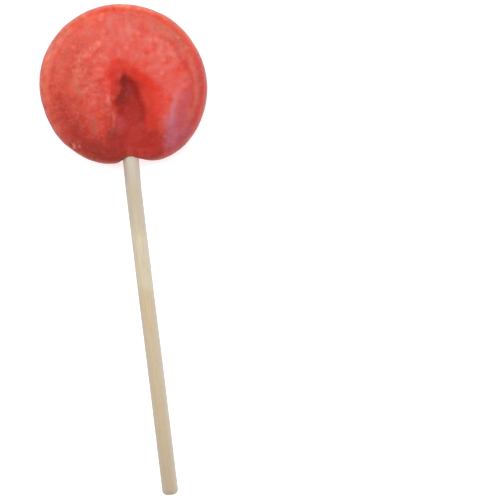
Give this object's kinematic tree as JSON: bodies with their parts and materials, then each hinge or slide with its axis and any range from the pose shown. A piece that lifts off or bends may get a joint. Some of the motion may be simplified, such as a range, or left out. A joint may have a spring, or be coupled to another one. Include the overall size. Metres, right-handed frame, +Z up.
{
  "type": "lollipop",
  "caption": "Round red boiled-sugar lollipop on a straight birch stick, domed face with a sunken hollow over the stick, lying on its back.",
  "frame": {"origin": "on the surface under the candy, at the height of the middle of its outline, below the stick's axis", "axes": "+Z up out of the shown face, +Y along the stick's axis from its free end to the candy, +X to the right as the face is looked at"},
  "size_m": [0.0499, 0.1473, 0.0127],
  "materials": {
    "candy": "glossy, a little uneven",
    "stick_wood": "bare sanded birch"
  },
  "bodies": {
    "root": {"candy_head": "candy", "stick": "stick_wood"}
  },
  "joints": []
}
